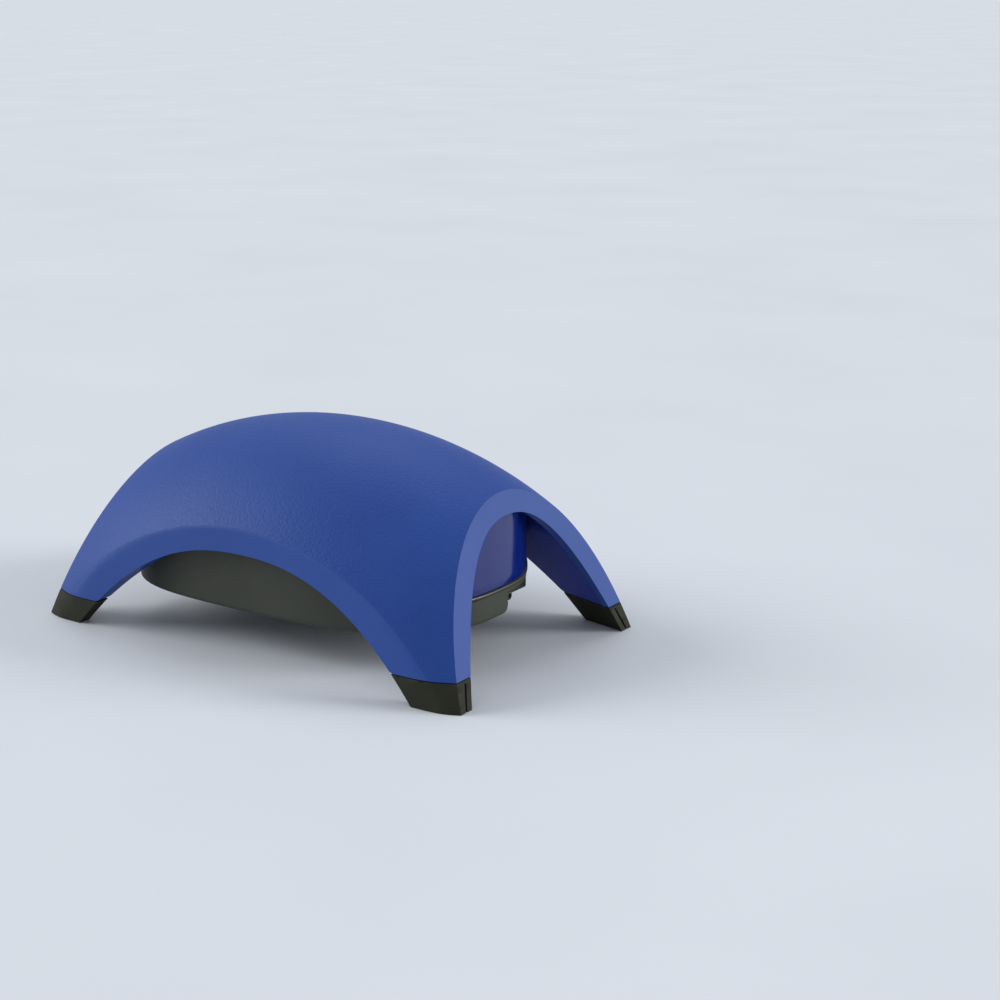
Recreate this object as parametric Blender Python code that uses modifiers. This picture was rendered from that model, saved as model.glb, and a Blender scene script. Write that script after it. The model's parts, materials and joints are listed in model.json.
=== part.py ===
"""Aquarium air pump: a domed cover on four rubber-tipped legs over a drum that holds the motor.

Frame: origin on the table under the middle of the pump, +X along its length towards the air
outlet, +Z up. Lengths below are in millimetres and become metres where the geometry is made.
"""

import math

import bmesh
import bpy
from mathutils import Matrix, Vector

MM = 0.001
GAP = 0.3  # clearance between pieces that touch
REACH = 120.0  # longer than any wall that a cutter goes through

# Domed cover: part of an ellipsoid whose centre lies below the table
DOME_RADII = (141.0, 81.5, 123.2)
DOME_TOP = 74.0
DOME_WALL = 3.0
END_REACH, END_LEAN = 90.0, 0.352  # end facet: x at the table, inward lean per height
SIDE_REACH, SIDE_LEAN = 56.65, 0.097  # side facet: y at the table, inward lean per height
SIDE_PLATE = 5.2  # thickness of the legs across the pump
END_FLANGE, END_TAPER = 2.0, 0.042  # rim around each end arch: thickness, and its growth upwards
END_ARCH = (47.4, 50.4, 2.29)  # half width at the table, height, roundness
SIDE_ARCH = (72.8, 37.0, 2.315)

# Rubber feet
FOOT_HEIGHT = 9.0
FOOT_SLOT = (1.0, 1.6, 3.1)  # width, depth, distance from the end arch
TONGUE_X, TONGUE_HEIGHT = (68.0, 75.0), 5.0
TONGUE_Y = (SIDE_REACH - SIDE_PLATE + 0.15, SIDE_REACH - SIDE_PLATE + 1.75)
LEG_TURN = 0.295  # how far the legs' inner faces turn towards the ends, across per length
LEG_LEAN = 0.66  # how far those faces lean in with height
LEG_THICKER, LEG_TOP = 0.6, 41.3  # added thickness at the side arch, and how high it goes

# Drum under the dome and the pan that closes it
DRUM_HALF = (69.5, 46.0)
DRUM_SQUARENESS = (3.8, 2.7)  # of the corners at the -X end and at the +X end
DRUM_WALL = 2.5
PAN_BOTTOM = 13.9
PAN_FLOOR = 2.4
PAN_EDGE = 2.0
SEAM_END, SEAM_RISE = 23.8, 15.2  # seam height at the ends, and its rise along the sides
SEAM_REACH, SEAM_POWER = DRUM_HALF[0] - 3.0, 3.0
SEAL_HEIGHT, SEAL_PROUD = 1.0, 0.4

# Screws that join pan, drum and dome
PAN_SCREW_AT = (DRUM_HALF[0] - 24.5, DRUM_HALF[1] - 15.0)
PAN_SCREW_LENGTH = 23.0
DOME_SCREW_AT = (30.0, 22.0)
POST_RADIUS = 4.0
SHANK, HEAD, HEAD_HEIGHT = 1.3, 2.9, 1.8
DOME_BOSS, DOME_SEAT, DOME_SEAT_Z = 3.0, 5.6, DOME_TOP - 19.0
WASHER = 1.0

# Air outlet at the +X end and mains gland at the -X end
OUTLET = (6.9, 19.7)  # y, z
BARB_NECK, BARB_RIDGE, BARB_BORE = 1.6, 1.95, 1.0
NOTCH_X, NOTCH_Y, NOTCH_TOP = DRUM_HALF[0] - 7.0, 5.3, 21.8  # pocket around the outlet
NOTCH_ROUND = 4.0
BARB_TIP, BARB_TAIL = NOTCH_X + 6.5, NOTCH_X - 8.5
TUBE_OUTER, TUBE_WALL = 3.0, 0.6
KEEL_WALL = 1.2  # between the tube and the slope that starts beside it
KEEL_X, KEEL_TOP = NOTCH_X - 12.0, 16.3  # where the pan's underside slopes up
KEEL_Y = OUTLET[0] + TUBE_OUTER + GAP + KEEL_WALL
GLAND = (-7.0, 19.8)
GLAND_NECK, GLAND_RIM, GLAND_BORE = 2.6, 3.2, 1.9

# Air filter under the pan
FILTER_AT = (-12.0, -32.8)
FILTER_RADIUS, FILTER_DEPTH = 9.8, 4.6
FELT_HEIGHT, COVER_HEIGHT = 2.6, 1.5

# Motor: E-shaped core, coil and swinging arm
CORE_X, CORE_DEPTH = (-49.0, -14.0), 16.0
YOKE, OUTER_LEG, MIDDLE_LEG, WINDOW = 8.0, 6.0, 10.0, 7.0
COIL_TUBE, COIL_FLANGE = 1.0, 1.2
STRAP_THICK, STRAP_WIDTH = 1.0, 6.0

ARM_Z, ARM_THICK, ARM_WIDTH = 42.5 - DRUM_WALL, 2.0, 10.0
PIVOT_X, PIN_RADIUS, EYE_RADIUS = 38.0, 1.2, 3.2
AIR_GAP = 3.0  # between the pole faces and the magnet
MAGNET = (5.3, 16.0, 12.0)
EAR_Y, EAR_X, EAR_TOP = (9.6, 12.2), (PIVOT_X - 5.0, PIVOT_X + 5.0), ARM_Z + 5.0
BUSH_RADIUS = 2.6

# Pump head under the arm, between the magnet's plate and the ears
HEAD_HALF = 14.5
HEAD_SHARE = 2.9 / 7.4  # of the free length that lies before the head
HEAD_ROOM = (CORE_X[1] + AIR_GAP + MAGNET[0] + GAP + ARM_THICK + HEAD_HALF, EAR_X[0] - HEAD_HALF)
HEAD_X = HEAD_ROOM[0] + HEAD_SHARE * (HEAD_ROOM[1] - HEAD_ROOM[0])
FRAME_Z = (ARM_Z - 20.8, ARM_Z - 18.4)
COVER_Z = (FRAME_Z[1] + GAP, FRAME_Z[1] + 2.3)
GASKET_Z = (COVER_Z[1] + GAP, COVER_Z[1] + 1.1)
BLOCK_Z = (GASKET_Z[1] + GAP, GASKET_Z[1] + 9.0)
CHAMBER_RADIUS, CHAMBER_FLOOR, PLENUM_TOP = 10.0, BLOCK_Z[1] - 3.0, BLOCK_Z[1] - 4.5
PORT_RADIUS, PORT_OFFSET = 2.0, 6.0
FLAP = (6.0, 6.0, 0.6)
DIAPHRAGM_RADIUS, DIAPHRAGM_FLANGE = 13.5, 1.2
RING_HEIGHT = 1.4
BOSS_RADIUS, BOSS_TOP = 5.0, ARM_Z - 2.8
NIPPLE_RADIUS, NIPPLE_BORE, NIPPLE_Y, NIPPLE_Z = 2.2, 1.3, 5.0, BLOCK_Z[0] + 2.1
TUBE_STRAIGHT = 0.287  # share of the tube's run that is straight at each end

# Frame on rubber mounts, which stand between the pump head and the pan's slope
MOUNT_X, MOUNT_Y = (-34.0, (HEAD_X + HEAD_HALF + KEEL_X) / 2 - 1.0), 16.6
MOUNT_NECK, MOUNT_FOOT, MOUNT_RIM = 1.8, 4.0, 3.0
FRAME_X, FRAME_HALF_Y = (-52.0, MOUNT_X[1] + 5.5), 20.0

SPHERE_STEPS = (64, 32)
DRUM_STEPS = 72

parts = None
cutters = None
materials = {}


# ---------- scene, materials and small helpers ----------

def clear_scene():
    for old in list(bpy.data.objects):
        bpy.data.objects.remove(old, do_unlink=True)


def new_collection(name, hidden=False):
    made = bpy.data.collections.new(name)
    bpy.context.scene.collection.children.link(made)
    made.hide_render = hidden
    return made


def new_material(name, colour, roughness, metallic=0.0):
    made = bpy.data.materials.new(name)
    made.use_nodes = True
    shader = made.node_tree.nodes["Principled BSDF"]
    shader.inputs["Base Color"].default_value = (*colour, 1.0)
    shader.inputs["Roughness"].default_value = roughness
    shader.inputs["Metallic"].default_value = metallic
    materials[name] = made


def make_materials():
    new_material("grained_blue", (0.045, 0.082, 0.33), 0.45)
    new_material("glossy_blue", (0.03, 0.06, 0.32), 0.22)
    new_material("dark_plastic", (0.045, 0.048, 0.036), 0.5)
    new_material("black_rubber", (0.03, 0.03, 0.022), 0.7)
    new_material("soft_rubber", (0.02, 0.02, 0.02), 0.6)
    new_material("clear_silicone", (0.55, 0.58, 0.55), 0.3)
    new_material("white_plastic", (0.6, 0.6, 0.57), 0.4)
    new_material("felt", (0.5, 0.5, 0.46), 0.95)
    new_material("steel", (0.5, 0.5, 0.5), 0.35, 1.0)
    new_material("laminations", (0.2, 0.2, 0.21), 0.45, 1.0)
    new_material("copper", (0.6, 0.25, 0.1), 0.3, 1.0)
    new_material("ferrite", (0.05, 0.05, 0.055), 0.6)


def add_object(name, mesh, material=None, matrix=None):
    """Adds a mesh as a part when it has a material, and as a hidden cutter when it has none."""
    made = bpy.data.objects.new(name, mesh)
    if material:
        if not mesh.materials:
            mesh.materials.append(materials[material])
        parts.objects.link(made)
    else:
        cutters.objects.link(made)
        made.hide_render = True
        made.display_type = "WIRE"
    if matrix is not None:
        made.matrix_world = matrix
    return made


def mesh_from(name, bm):
    bmesh.ops.recalc_face_normals(bm, faces=bm.faces)
    mesh = bpy.data.meshes.new(name)
    bm.to_mesh(mesh)
    bm.free()
    return mesh


def smooth(obj, angle=35.0):
    obj.data.shade_smooth()
    obj.data.set_sharp_from_angle(angle=math.radians(angle))


def evaluated_mesh(obj):
    bpy.context.view_layer.update()
    graph = bpy.context.evaluated_depsgraph_get()
    return bpy.data.meshes.new_from_object(obj.evaluated_get(graph))


def boolean(obj, tool, operation="DIFFERENCE"):
    step = obj.modifiers.new(f"{operation.lower()} {tool.name}", "BOOLEAN")
    step.operation = operation
    step.object = tool
    step.solver = "EXACT"


def bevel(obj, width, segments=2, angle=50.0):
    step = obj.modifiers.new("rounded edges", "BEVEL")
    step.width = width * MM
    step.segments = segments
    step.limit_method = "ANGLE"
    step.angle_limit = math.radians(angle)


# ---------- basic solids ----------

def box(name, low, high, material=None):
    """A block between two corners, with its edges along the axes."""
    bm = bmesh.new()
    bmesh.ops.create_cube(bm, size=1.0)
    size = [(b - a) * MM for a, b in zip(low, high)]
    middle = [(a + b) / 2 * MM for a, b in zip(low, high)]
    bmesh.ops.scale(bm, vec=size, verts=bm.verts)
    bmesh.ops.translate(bm, vec=middle, verts=bm.verts)
    return add_object(name, mesh_from(name, bm), material)


def along(axis):
    """The turn that takes +Z to the named axis."""
    turns = {"X": Matrix.Rotation(math.pi / 2, 4, "Y"), "Y": Matrix.Rotation(-math.pi / 2, 4, "X")}
    return turns.get(axis, Matrix.Identity(4))


def rod(name, radius, start, length, axis="Z", material=None, sides=20):
    """A cylinder from a point along +X, +Y or +Z."""
    bm = bmesh.new()
    bmesh.ops.create_cone(
        bm, cap_ends=True, segments=sides, radius1=radius * MM, radius2=radius * MM, depth=length * MM
    )
    bmesh.ops.translate(bm, vec=(0, 0, length / 2 * MM), verts=bm.verts)
    matrix = Matrix.Translation(Vector(start) * MM) @ along(axis)
    bmesh.ops.transform(bm, matrix=matrix, verts=bm.verts)
    return add_object(name, mesh_from(name, bm), material)


def ellipsoid(name, inset):
    """The dome's ellipsoid, made smaller by the inset on every radius."""
    bm = bmesh.new()
    bmesh.ops.create_uvsphere(bm, u_segments=SPHERE_STEPS[0], v_segments=SPHERE_STEPS[1], radius=1.0)
    bmesh.ops.scale(bm, vec=[(radius - inset) * MM for radius in DOME_RADII], verts=bm.verts)
    bmesh.ops.translate(bm, vec=(0, 0, (DOME_TOP - DOME_RADII[2]) * MM), verts=bm.verts)
    return add_object(name, mesh_from(name, bm))


def outline_solid(name, points, low, high, axis="Z", material=None):
    """A flat closed outline, drawn across the axis, made solid from low to high along it.

    Points are (x, y) for Z, (x, z) for Y and (y, z) for X.
    """
    curve = bpy.data.curves.new(name, "CURVE")
    curve.dimensions = "2D"
    curve.fill_mode = "BOTH"
    curve.extrude = (high - low) / 2 * MM
    spline = curve.splines.new("POLY")
    spline.points.add(len(points) - 1)
    for point, (u, v) in zip(spline.points, points):
        point.co = (u * MM, v * MM, 0.0, 1.0)
    spline.use_cyclic_u = True
    guide = bpy.data.objects.new(name, curve)
    parts.objects.link(guide)
    mesh = evaluated_mesh(guide)
    bpy.data.objects.remove(guide, do_unlink=True)
    columns = {
        "Z": ((1, 0, 0), (0, 1, 0), (0, 0, 1)),
        "Y": ((1, 0, 0), (0, 0, 1), (0, -1, 0)),
        "X": ((0, 1, 0), (0, 0, 1), (1, 0, 0)),
    }[axis]
    turn = Matrix(columns).transposed().to_4x4()
    middle = (low + high) / 2 * MM
    shift = {"Z": (0, 0, middle), "Y": (0, middle, 0), "X": (middle, 0, 0)}[axis]
    bm = bmesh.new()
    bm.from_mesh(mesh)
    bmesh.ops.remove_doubles(bm, verts=bm.verts, dist=1e-6)
    bmesh.ops.transform(bm, matrix=Matrix.Translation(shift) @ turn, verts=bm.verts)
    bpy.data.meshes.remove(mesh)
    return add_object(name, mesh_from(name, bm), material)


def turned(name, profile, at, axis="Z", material=None, steps=24, loop=False):
    """A turned piece: profile points are (radius, height), from the top down the outer side."""
    mesh = bpy.data.meshes.new(name)
    corners = [(radius * MM, 0.0, height * MM) for radius, height in profile]
    edges = [(i, i + 1) for i in range(len(corners) - 1)]
    if loop:
        edges.append((len(corners) - 1, 0))
    mesh.from_pydata(corners, edges, [])
    made = add_object(name, mesh, material, Matrix.Translation(Vector(at) * MM) @ along(axis))
    screw = made.modifiers.new("turn", "SCREW")
    screw.axis = "Z"
    screw.steps = steps
    screw.render_steps = steps
    screw.use_merge_vertices = True
    screw.merge_threshold = 1e-6
    return made


# ---------- shapes that several pieces share ----------

def end_reach(z):
    return END_REACH - END_LEAN * z


def side_reach(z):
    return SIDE_REACH - SIDE_LEAN * z


def leaning_sides(name, reach, inset, low, high, axis, taper=0.0):
    """A block between two facets that lean inwards, less an inset that may grow with height."""
    bottom, top = reach(low) - inset - taper * low, reach(high) - inset - taper * high
    points = [(bottom, low), (top, high), (-top, high), (-bottom, low)]
    return outline_solid(name, points, -REACH, REACH, axis)


def arch(name, size, axis, steps=36):
    """The cutter of an arched opening that runs right through the cover."""
    half, height, power = size
    points = [(half, -REACH / 4)]
    for i in range(steps + 1):
        across = half * math.cos(math.pi * i / steps)
        points.append((across, height * (1 - (abs(across) / half) ** power)))
    points.append((-half, -REACH / 4))
    return outline_solid(name, points, -REACH, REACH, axis)


def drum_outline(offset):
    """The drum's rounded oblong in plan, grown by the offset."""
    half_x, half_y = (half + offset for half in DRUM_HALF)
    points = []
    for i in range(DRUM_STEPS):
        turn = 2 * math.pi * i / DRUM_STEPS
        c, s = math.cos(turn), math.sin(turn)
        power = DRUM_SQUARENESS[c > 0]
        radius = (abs(c / half_x) ** power + abs(s / half_y) ** power) ** (-1 / power)
        points.append((radius * c, radius * s))
    return points


def seam_line(offset, steps=28):
    """The seam's points (x, z) from one end to the other: level at the ends, arched between."""
    points = [(-REACH, SEAM_END + offset)]
    for i in range(steps + 1):
        share = math.sin(math.pi / 2 * (2 * i / steps - 1))
        points.append((SEAM_REACH * share, SEAM_END + SEAM_RISE * (1 - abs(share) ** SEAM_POWER) + offset))
    points.append((REACH, SEAM_END + offset))
    return points


def corners(at):
    """The four places that mirror one another, with their names."""
    for end, sx in (("right", 1), ("left", -1)):
        for side, sy in (("front", -1), ("back", 1)):
            yield f"{side}_{end}", (sx * at[0], sy * at[1])


def screw_mesh(length):
    """A pan-head screw, head down with its seat at height 0, with a cross recess."""
    profile = [
        (0.0, length),
        (SHANK * 0.5, length - 0.6),
        (SHANK, length - 2.0),
        (SHANK, 0.0),
        (HEAD, 0.0),
        (HEAD, -0.6 * HEAD_HEIGHT),
        (0.7 * HEAD, -HEAD_HEIGHT),
        (0.0, -HEAD_HEIGHT),
    ]
    blank = turned("screw_blank", profile, (0, 0, 0), steps=16)
    arms = (1.7, 0.35, 0.9)
    for arm in (arms, (arms[1], arms[0], arms[2])):
        low = (-arm[0], -arm[1], -2 * HEAD_HEIGHT)
        high = (arm[0], arm[1], -HEAD_HEIGHT + arm[2])
        boolean(blank, box("recess", low, high))
    mesh = evaluated_mesh(blank)
    mesh.name = "screw"
    bpy.data.objects.remove(blank, do_unlink=True)
    mesh.materials.clear()
    mesh.materials.append(materials["steel"])
    return mesh


# ---------- cover, drum, pan and feet ----------

def leg_face(x, z):
    """How far across the pump a leg's oblique inner face is, at a place along it and a height."""
    start, height, power = SIDE_ARCH
    corner = start * (1 - FOOT_HEIGHT / height) ** (1 / power)
    across = SIDE_REACH - SIDE_PLATE - SIDE_LEAN * FOOT_HEIGHT - LEG_THICKER
    return across - LEG_TURN * (x - corner) - LEG_LEAN * (z - FOOT_HEIGHT)


def foot_face(x, z):
    """The same for a foot, whose inner face runs from the leg's down to the side arch's corner."""
    on_table = SIDE_REACH - SIDE_PLATE - 0.235 * (x - SIDE_ARCH[0])
    share = z / FOOT_HEIGHT
    return on_table * (1 - share) + leg_face(x, FOOT_HEIGHT) * share


def oblique_block(name, face, low, high, sx, sy, outside):
    """All that is outside or inside an oblique face in one quarter of the pump."""
    bm = bmesh.new()
    rings = []
    for z in (low, high):
        far = REACH if outside else -REACH
        ring = [(0.0, face(0.0, z)), (REACH, face(REACH, z)), (REACH, far), (0.0, far)]
        rings.append([bm.verts.new(Vector((sx * x, sy * y, z)) * MM) for x, y in ring])
    bm.faces.new(rings[0])
    bm.faces.new(rings[1])
    for i in range(4):
        j = (i + 1) % 4
        bm.faces.new((rings[0][i], rings[0][j], rings[1][j], rings[1][i]))
    bmesh.ops.triangulate(bm, faces=bm.faces)
    return add_object(name, mesh_from(name, bm))


def dome_outside(name, low, high):
    """The cover's outer form between two heights, before it is hollowed."""
    form = ellipsoid(name, 0.0)
    boolean(form, leaning_sides(f"{name}_ends", end_reach, 0.0, low, high, "Y"), "INTERSECT")
    boolean(form, leaning_sides(f"{name}_sides", side_reach, 0.0, low, high, "X"), "INTERSECT")
    return form


def make_dome(end_arch, side_arch):
    low, high = -REACH / 4, DOME_TOP + 10
    room = leaning_sides("hollow_ends", end_reach, END_FLANGE, low, high, "Y", END_TAPER)
    boolean(room, leaning_sides("hollow_sides", side_reach, SIDE_PLATE, low, high, "X"), "INTERSECT")
    seal_room = outline_solid("seal_room", drum_outline(SEAL_PROUD + 3 * GAP), low, LEG_TOP + 2)
    for place, (sx, sy) in corners((1, 1)):
        boolean(room, oblique_block(f"leg_corner_{place}", leg_face, low, LEG_TOP, sx, sy, True))
    boolean(room, outline_solid("drum_room", drum_outline(GAP), low + 1, high + 1), "UNION")
    hollow = ellipsoid("dome_hollow", DOME_WALL)
    boolean(hollow, room, "INTERSECT")
    for place, (x, y) in corners(DOME_SCREW_AT):
        boss = rod(f"dome_boss_{place}", DOME_BOSS, (x, y, DOME_SEAT_Z + GAP), DOME_TOP - DOME_SEAT_Z)
        boolean(hollow, boss)
    form = dome_outside("dome_form", FOOT_HEIGHT + GAP, high)
    dome = add_object("dome_shell", evaluated_mesh(form), "grained_blue")
    for cutter in (hollow, seal_room, end_arch, side_arch):
        boolean(dome, cutter)
    for place, (x, y) in corners(DOME_SCREW_AT):
        depth = dome_screw_length() + GAP
        start = (x, y, DOME_SEAT_Z - 1)
        boolean(dome, rod(f"dome_pilot_{place}", SHANK + GAP, start, depth + 1, sides=12))
    for place, (sx, sy) in corners((1, 1)):
        boolean(dome, tongue(f"pocket_{place}", sx, sy, GAP))
    smooth(dome)


def dome_screw_length():
    """Long enough for the boss, short of the cover's outer skin."""
    x, y = DOME_SCREW_AT
    a, b, c = (radius - DOME_WALL for radius in DOME_RADII)
    under = DOME_TOP - DOME_RADII[2] + c * math.sqrt(1 - (x / a) ** 2 - (y / b) ** 2)
    return under - DOME_SEAT_Z - 1.0


def tongue(name, sx, sy, clearance):
    """The tab by which a foot is held in its leg, grown by a clearance."""
    xs = sorted(sx * (x + grow) for x, grow in zip(TONGUE_X, (-clearance, clearance)))
    ys = sorted(sy * (y + grow) for y, grow in zip(TONGUE_Y, (-clearance, clearance)))
    top = FOOT_HEIGHT + TONGUE_HEIGHT + clearance
    return box(name, (xs[0], ys[0], FOOT_HEIGHT - 1), (xs[1], ys[1], top))


def foot_slot(name, sx, sy):
    """The slot in a foot's end, which runs along the edge of the end arch."""
    width, depth, beside = FOOT_SLOT
    half, height, power = END_ARCH
    points = []
    for z, side in ((-1, -1), (-1, 1), (FOOT_HEIGHT - 1.2, 1), (FOOT_HEIGHT - 1.2, -1)):
        middle = half * (1 - z / height) ** (1 / power) + beside
        points.append((sy * (middle + side * width / 2), z))
    low, high = sorted((0, sx * REACH))
    slot = outline_solid(name, points, low, high, "X")
    low, high = -REACH / 4, FOOT_HEIGHT + 1
    boolean(slot, leaning_sides(f"{name}_floor", end_reach, depth, low, high, "Y"))
    return slot


def make_feet(end_arch, side_arch):
    tips = dome_outside("leg_tips", 0.0, FOOT_HEIGHT)
    for cutter in (end_arch, side_arch):
        boolean(tips, cutter)
    for place, (sx, sy) in corners((1, 1)):
        foot = add_object(f"foot_{place}", evaluated_mesh(tips), "black_rubber")
        xs, ys = sorted((0, sx * REACH)), sorted((0, sy * REACH))
        boolean(foot, box(f"quarter_{place}", (xs[0], ys[0], -1), (xs[1], ys[1], REACH)), "INTERSECT")
        boolean(foot, oblique_block(f"foot_inside_{place}", foot_face, -1, FOOT_HEIGHT + 1, sx, sy, False))
        boolean(foot, foot_slot(f"foot_slot_{place}", sx, sy))
        boolean(foot, tongue(f"tongue_{place}", sx, sy, 0.0), "UNION")


def seam_cutter(name, offset, upwards):
    """Everything below or above the seam."""
    edge = REACH if upwards else -REACH
    points = [(-REACH, edge), (REACH, edge), *reversed(seam_line(offset))]
    return outline_solid(name, points, -REACH, REACH, "Y")


def make_drum():
    low, high = 0.0, REACH
    roof_inset = DOME_WALL + GAP
    outside = ellipsoid("drum_form", roof_inset)
    boolean(outside, outline_solid("drum_walls", drum_outline(0.0), low, high), "INTERSECT")
    inside = ellipsoid("drum_inside", roof_inset + DRUM_WALL)
    boolean(inside, outline_solid("drum_inner_walls", drum_outline(-DRUM_WALL), -REACH, high), "INTERSECT")
    for place, (x, y) in corners(PAN_SCREW_AT):
        boolean(inside, rod(f"drum_post_{place}", POST_RADIUS, (x, y, SEAM_END), REACH))
    for place, (x, y) in corners(DOME_SCREW_AT):
        boolean(inside, rod(f"drum_seat_{place}", DOME_SEAT, (x, y, DOME_SEAT_Z), REACH))
    drum = add_object("motor_housing", evaluated_mesh(outside), "glossy_blue")
    boolean(drum, inside)
    boolean(drum, seam_cutter("below_drum", SEAL_HEIGHT / 2 + GAP, upwards=False))
    for place, (x, y) in corners(PAN_SCREW_AT):
        boolean(drum, rod(f"post_hole_{place}", SHANK + GAP, (x, y, low), pan_screw_top() + GAP, sides=12))
    for place, (x, y) in corners(DOME_SCREW_AT):
        boolean(drum, rod(f"seat_hole_{place}", DOME_BOSS + GAP, (x, y, DOME_SEAT_Z - 2), REACH))
    smooth(drum)


def pan_screw_top():
    return PAN_BOTTOM + HEAD_HEIGHT + PAN_SCREW_LENGTH + 1.0


def make_seal():
    ring = outline_solid("base_seal", drum_outline(SEAL_PROUD), PAN_BOTTOM, REACH, material="soft_rubber")
    boolean(ring, outline_solid("seal_inside", drum_outline(-DRUM_WALL), 0, 2 * REACH))
    half = SEAL_HEIGHT / 2
    boolean(ring, seam_cutter("above_seal", half, upwards=True))
    boolean(ring, seam_cutter("below_seal", -half, upwards=False))


def notch_profile(grow):
    """The outlet pocket across the pan (y, z), with its lower corner rounded, grown by a wall."""
    left, top = NOTCH_Y - grow, NOTCH_TOP + grow
    start, middle = PAN_BOTTOM + grow / 2, PAN_BOTTOM + NOTCH_ROUND
    points = [(REACH, -1.0), (left - NOTCH_ROUND, -1.0), (left - NOTCH_ROUND, start)]
    for turn in (0.4, 0.8, 1.2, 1.5):
        points.append((left - NOTCH_ROUND * (1 - math.sin(turn)), middle - (middle - start) * math.cos(turn)))
    return points + [(left, top), (REACH, top)]


def keel_profile(grow):
    """The slope under the pan beside the outlet (x, z), so that an airline can leave downwards."""
    return [
        (REACH, -1.0),
        (KEEL_X, -1.0),
        (KEEL_X, PAN_BOTTOM + grow),
        (NOTCH_X, KEEL_TOP + grow),
        (REACH, KEEL_TOP + grow),
    ]


def under_pocket():
    """The slanted face under the pocket's own wall."""
    chamfer = 3.2
    top = PAN_BOTTOM + chamfer
    points = [(NOTCH_X - chamfer, -1.0), (NOTCH_X - chamfer, PAN_BOTTOM), (NOTCH_X, top)]
    return outline_solid("under_pocket", points + [(REACH, top), (REACH, -1.0)], NOTCH_Y, REACH, "Y")


def make_pan():
    pan = outline_solid("base_pan", drum_outline(0.0), PAN_BOTTOM, REACH, material="dark_plastic")
    bevel(pan, PAN_EDGE, 3)
    floor = PAN_BOTTOM + PAN_FLOOR
    inside = outline_solid("pan_inside", drum_outline(-DRUM_WALL), floor, 2 * REACH)
    notch_wall = NOTCH_X - DRUM_WALL
    y, z = OUTLET
    boolean(inside, outline_solid("notch_wall", notch_profile(DRUM_WALL), notch_wall, REACH, "X"))
    boolean(inside, outline_solid("keel_floor", keel_profile(PAN_FLOOR), KEEL_Y - KEEL_WALL, REACH, "Y"))
    for place, (sx, sy) in corners(PAN_SCREW_AT):
        boolean(inside, rod(f"pan_post_{place}", POST_RADIUS, (sx, sy, 0), REACH))
    fx, fy = FILTER_AT
    cup_top = PAN_BOTTOM + FILTER_DEPTH + PAN_FLOOR
    boolean(inside, rod("filter_cup", FILTER_RADIUS + DRUM_WALL, (fx, fy, 0), cup_top, sides=40))
    boolean(pan, inside)
    boolean(pan, seam_cutter("above_pan", -SEAL_HEIGHT / 2 - GAP, upwards=True))
    boolean(pan, outline_solid("outlet_notch", notch_profile(0.0), NOTCH_X, REACH, "X"))
    boolean(pan, under_pocket())
    boolean(pan, outline_solid("keel", keel_profile(0.0), KEEL_Y, REACH, "Y"))
    boolean(pan, rod("outlet_hole", BARB_RIDGE + GAP, (notch_wall - 2, y, z), REACH, "X"))
    gy, gz = GLAND
    boolean(pan, rod("gland_hole", GLAND_NECK + GAP, (-REACH, gy, gz), REACH / 2 + 10, "X"))
    boolean(pan, rod("filter_recess", FILTER_RADIUS, (fx, fy, 0), PAN_BOTTOM + FILTER_DEPTH, sides=40))
    boolean(pan, rod("intake_hole", PORT_RADIUS, (fx, fy, 0), REACH))
    for place, (x, y) in corners(PAN_SCREW_AT):
        seat = PAN_BOTTOM + HEAD_HEIGHT + GAP
        boolean(pan, rod(f"head_recess_{place}", HEAD + GAP, (x, y, 0), seat))
        boolean(pan, rod(f"pan_hole_{place}", SHANK + GAP, (x, y, 0), REACH, sides=12))
    smooth(pan)


def make_screws():
    seat = PAN_BOTTOM + HEAD_HEIGHT
    mesh = screw_mesh(PAN_SCREW_LENGTH)
    for place, (x, y) in corners(PAN_SCREW_AT):
        add_object(f"base_screw_{place}", mesh, "steel", Matrix.Translation(Vector((x, y, seat)) * MM))
    washer_seat = DOME_SEAT_Z - GAP
    mesh = screw_mesh(dome_screw_length())
    for place, (x, y) in corners(DOME_SCREW_AT):
        at = Vector((x, y, washer_seat - WASHER - GAP)) * MM
        add_object(f"dome_screw_{place}", mesh, "steel", Matrix.Translation(at))
        profile = [
            (SHANK + GAP, WASHER),
            (DOME_SEAT - 0.6, WASHER),
            (DOME_SEAT - 0.6, 0.0),
            (SHANK + GAP, 0.0),
        ]
        turned(f"dome_washer_{place}", profile, (x, y, washer_seat - WASHER), material="steel", loop=True)


# ---------- air outlet, gland and filter ----------

def make_outlet():
    y, z = OUTLET
    flange = NOTCH_X - DRUM_WALL - GAP
    profile = [
        (BARB_BORE, BARB_TIP),
        (BARB_NECK, BARB_TIP),
        (BARB_RIDGE, BARB_TIP - 1.4),
        (BARB_NECK, BARB_TIP - 1.6),
        (BARB_NECK, flange),
        (BARB_RIDGE + 1.2, flange),
        (BARB_RIDGE + 1.2, flange - 1.2),
        (NIPPLE_RADIUS, flange - 1.2),
        (NIPPLE_RADIUS, BARB_TAIL),
        (BARB_BORE, BARB_TAIL),
    ]
    turned("outlet_barb", profile, (0, y, z), "X", "dark_plastic", loop=True)


def tube_route():
    """The tube's points, from the pump head's nipple to the outlet."""
    y, z = OUTLET
    start, stop = HEAD_X + HEAD_HALF + 1.5, NOTCH_X - DRUM_WALL - GAP - 1.2 - 2 * GAP
    run = TUBE_STRAIGHT * (stop - start)
    drop = (stop - start) - 2 * run
    points = [(start, NIPPLE_Y, NIPPLE_Z)]
    steps = 14
    for i in range(steps + 1):
        t = i / steps
        ease = t * t * (3 - 2 * t)
        across = NIPPLE_Y + (y - NIPPLE_Y) * ease
        points.append((start + run + drop * t, across, NIPPLE_Z + (z - NIPPLE_Z) * ease))
    points.append((stop, y, z))
    return points


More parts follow.
